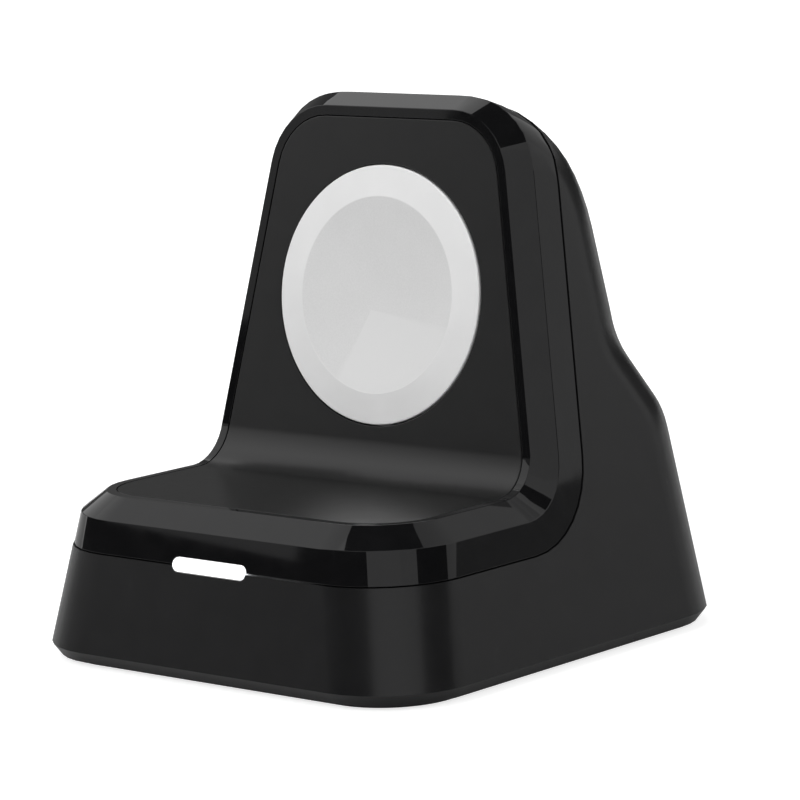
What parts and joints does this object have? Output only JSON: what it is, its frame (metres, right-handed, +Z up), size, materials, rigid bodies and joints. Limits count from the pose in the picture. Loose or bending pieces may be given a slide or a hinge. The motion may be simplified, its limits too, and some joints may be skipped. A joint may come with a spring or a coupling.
{
  "type": "smartwatch charging dock",
  "caption": "Wedge-backed watch charging dock: leaning upright with a round dished puck, low padded platform, glossy L-shaped bezel, light in the front seam and port in the rear wall.",
  "frame": {"origin": "centre of the footprint, on the surface the dock stands on", "axes": "+X to the right seen from the front, +Y to the rear, +Z up; the platform and the puck's face look towards -Y"},
  "size_m": [0.0552, 0.0578, 0.0586],
  "materials": {
    "rear_housing": "fine-grained matte black moulding",
    "front_bezel": "high-gloss black moulding",
    "pad": "soft-touch matte black",
    "puck_cover": "satin white",
    "puck_cup": "satin",
    "charging_coil": "enamelled copper wire, wound flat",
    "ferrite_shield": "matte sintered ferrite",
    "centre_magnet": "nickel-plated",
    "puck_board": "green solder mask",
    "puck_retainer": "dark grey moulding",
    "retainer_screws": "zinc-plated",
    "puck_lead": "pale grey jacket",
    "lead_plug": "natural nylon",
    "lead_socket": "natural nylon",
    "main_board": "green solder mask",
    "controller_chip": "moulded epoxy",
    "power_inductor": "moulded ferrite",
    "capacitors": "fired ceramic",
    "port_shell": "drawn stainless shell",
    "port_tongue": "black insulator",
    "status_led": "clear resin",
    "light_pipe": "frosted translucent white, lit",
    "ballast_plate": "plain rolled steel",
    "board_screws": "zinc-plated",
    "base_cover": "matte black moulding",
    "case_screws": "black oxide",
    "rubber_foot": "anti-slip rubber"
  },
  "bodies": {
    "root": {"rear_housing": "rear_housing", "front_bezel": "front_bezel", "pad": "pad", "puck_cover": "puck_cover", "puck_cup": "puck_cup", "charging_coil": "charging_coil", "ferrite_shield": "ferrite_shield", "centre_magnet": "centre_magnet", "puck_board": "puck_board", "puck_retainer": "puck_retainer", "retainer_screws": "retainer_screws", "puck_lead": "puck_lead", "lead_plug": "lead_plug", "lead_socket": "lead_socket", "main_board": "main_board", "controller_chip": "controller_chip", "power_inductor": "power_inductor", "capacitors": "capacitors", "port_shell": "port_shell", "port_tongue": "port_tongue", "status_led": "status_led", "light_pipe": "light_pipe", "ballast_plate": "ballast_plate", "board_screws": "board_screws", "base_cover": "base_cover", "case_screws": "case_screws", "rubber_foot": "rubber_foot"}
  },
  "joints": []
}
